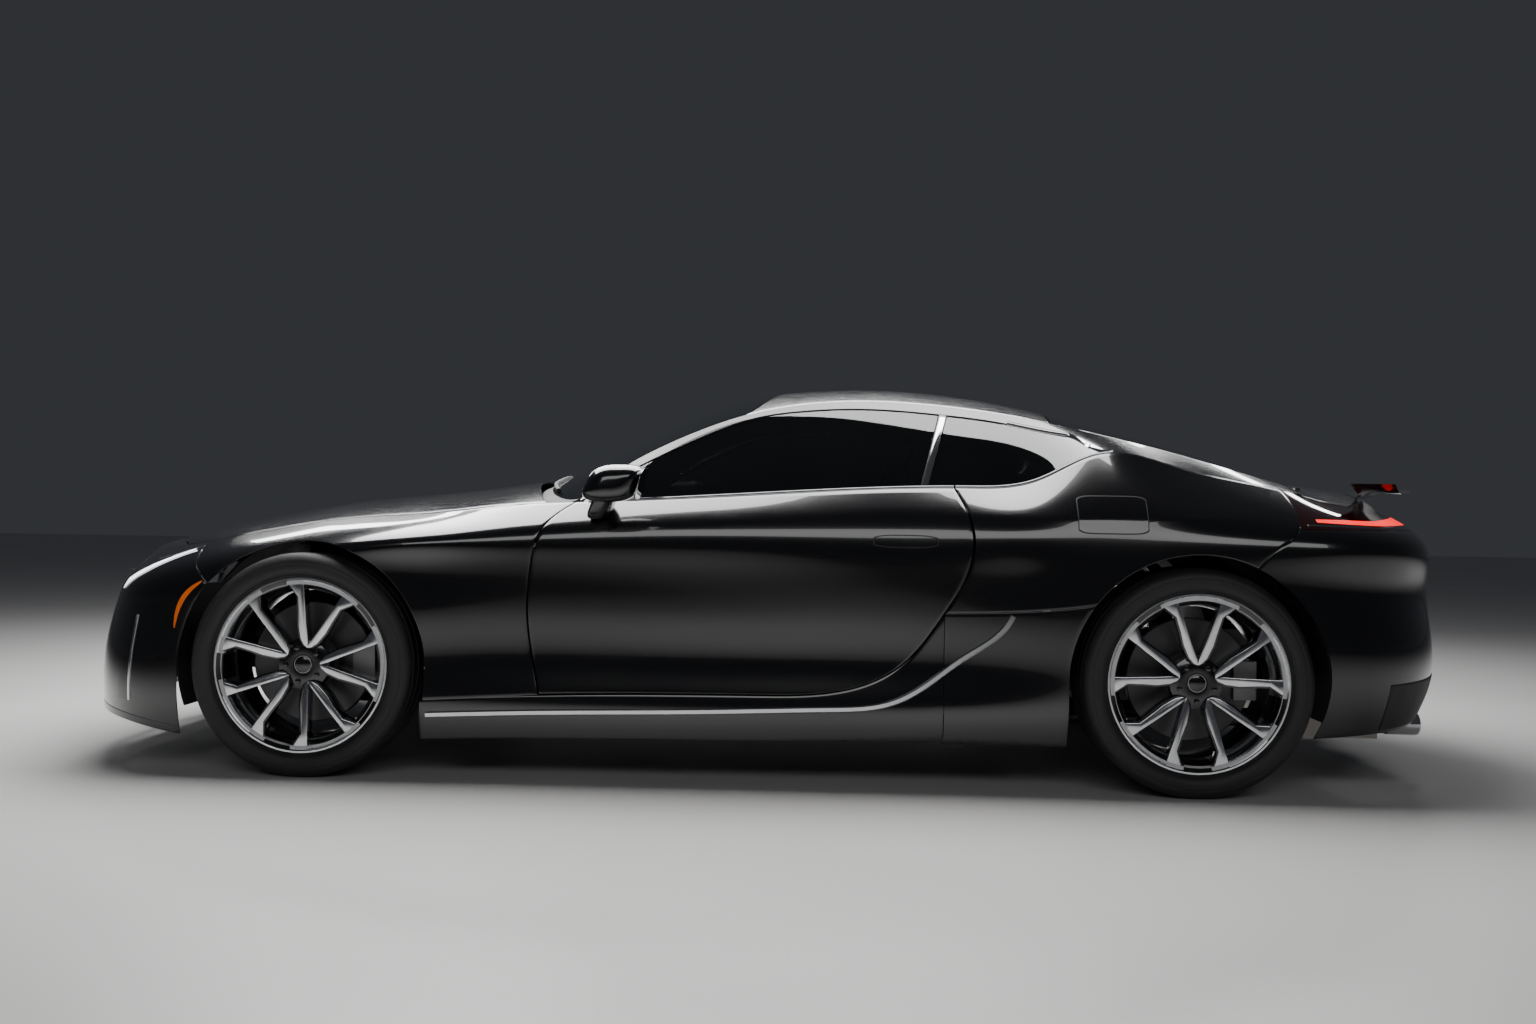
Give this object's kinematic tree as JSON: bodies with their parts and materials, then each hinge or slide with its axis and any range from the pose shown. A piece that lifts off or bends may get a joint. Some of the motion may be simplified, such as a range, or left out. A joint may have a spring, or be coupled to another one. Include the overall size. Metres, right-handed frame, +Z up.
{
  "type": "two-door grand touring coupe",
  "caption": "Low two-door grand touring coupe with turning wheels, steering, and opening doors, bonnet, boot lid and fuel flap.",
  "frame": {"origin": "on the ground, halfway along and across the car", "axes": "+X towards the tail, +Y to the car's right, +Z up"},
  "size_m": [4.765, 2.21, 1.3511],
  "materials": {
    "body_paint": "polished",
    "black_trim": "polished",
    "window_glass": "polished",
    "lamp_cover": "polished",
    "red_lamp": "polished",
    "cabin_leather": "satin",
    "cabin_trim": "matte",
    "underbody_steel": "matte",
    "cast_metal": "matte",
    "exhaust_steel": "satin",
    "wheel_alloy": "satin",
    "tyre_rubber": "matte"
  },
  "bodies": {
    "body": {"fender_left": "body_paint", "fender_right": "body_paint", "front_bumper": "body_paint", "quarter_panel_left": "body_paint", "quarter_panel_right": "body_paint", "rear_bumper": "body_paint", "roof_panel": "body_paint", "side_frames": "body_paint", "side_skirts": "body_paint", "cowl": "black_trim", "grille": "black_trim", "quarter_windows": "window_glass", "rear_window": "window_glass", "windscreen": "window_glass", "headlamps": "lamp_cover", "tail_lamps": "red_lamp", "front_seats": "cabin_leather", "rear_seat": "cabin_leather", "dashboard": "cabin_trim", "steering_wheel": "cabin_trim", "front_structure": "underbody_steel", "floor_pan": "underbody_steel", "sills": "underbody_steel", "rear_structure": "underbody_steel", "front_subframe": "underbody_steel", "engine": "cast_metal", "rear_suspension": "cast_metal", "exhaust": "exhaust_steel"},
    "bonnet": {"bonnet": "body_paint"},
    "boot_lid": {"boot_lid": "body_paint", "rear_wing": "body_paint"},
    "fuel_flap": {"fuel_flap": "body_paint"},
    "door_left": {"door_left": "body_paint", "door_glass_left": "window_glass", "door_mirror_left": "body_paint"},
    "knuckle_front_left": {"knuckle_front_left": "cast_metal"},
    "wheel_front_left": {"tyre_front_left": "tyre_rubber", "rim_front_left": "wheel_alloy"},
    "wheel_rear_left": {"tyre_rear_left": "tyre_rubber", "rim_rear_left": "wheel_alloy"},
    "door_right": {"door_right": "body_paint", "door_glass_right": "window_glass", "door_mirror_right": "body_paint"},
    "knuckle_front_right": {"knuckle_front_right": "cast_metal"},
    "wheel_front_right": {"tyre_front_right": "tyre_rubber", "rim_front_right": "wheel_alloy"},
    "wheel_rear_right": {"tyre_rear_right": "tyre_rubber", "rim_rear_right": "wheel_alloy"}
  },
  "joints": [
    {"name": "door_left_hinge", "type": "hinge", "parent": "body", "child": "door_left", "pos_m": [-0.61856, -0.888, 0.56], "axis": [0, 0, -1], "range_deg": [0, 65]},
    {"name": "door_right_hinge", "type": "hinge", "parent": "body", "child": "door_right", "pos_m": [-0.61856, 0.888, 0.56], "axis": [0, 0, 1], "range_deg": [0, 65]},
    {"name": "bonnet_hinge", "type": "hinge", "parent": "body", "child": "bonnet", "pos_m": [-0.67575, 0, 0.865], "axis": [0, 1, 0], "range_deg": [0, 50]},
    {"name": "boot_lid_hinge", "type": "hinge", "parent": "body", "child": "boot_lid", "pos_m": [1.877, 0, 0.99], "axis": [0, -1, 0], "range_deg": [0, 65]},
    {"name": "fuel_flap_hinge", "type": "hinge", "parent": "body", "child": "fuel_flap", "pos_m": [1.05262, -0.8943, 0.88332], "axis": [-0.0216, -0.445, -0.8953], "range_deg": [0, 80]},
    {"name": "steer_left", "type": "hinge", "parent": "body", "child": "knuckle_front_left", "pos_m": [-1.465, -0.753, 0.3645], "axis": [0, 0, 1], "range_deg": [-35, 35]},
    {"name": "steer_right", "type": "hinge", "parent": "body", "child": "knuckle_front_right", "pos_m": [-1.465, 0.753, 0.3645], "axis": [0, 0, 1], "range_deg": [-35, 35]},
    {"name": "wheel_front_left_spin", "type": "hinge", "parent": "knuckle_front_left", "child": "wheel_front_left", "pos_m": [-1.465, -0.815, 0.3645], "axis": [0, 1, 0], "continuous": true},
    {"name": "wheel_rear_left_spin", "type": "hinge", "parent": "body", "child": "wheel_rear_left", "pos_m": [1.405, -0.815, 0.363], "axis": [0, 1, 0], "continuous": true},
    {"name": "wheel_front_right_spin", "type": "hinge", "parent": "knuckle_front_right", "child": "wheel_front_right", "pos_m": [-1.465, 0.815, 0.3645], "axis": [0, 1, 0], "continuous": true},
    {"name": "wheel_rear_right_spin", "type": "hinge", "parent": "body", "child": "wheel_rear_right", "pos_m": [1.405, 0.815, 0.363], "axis": [0, 1, 0], "continuous": true}
  ],
  "couplings": [
    {"joint": "steer_right", "follows": "steer_left", "ratio": 1}
  ]
}
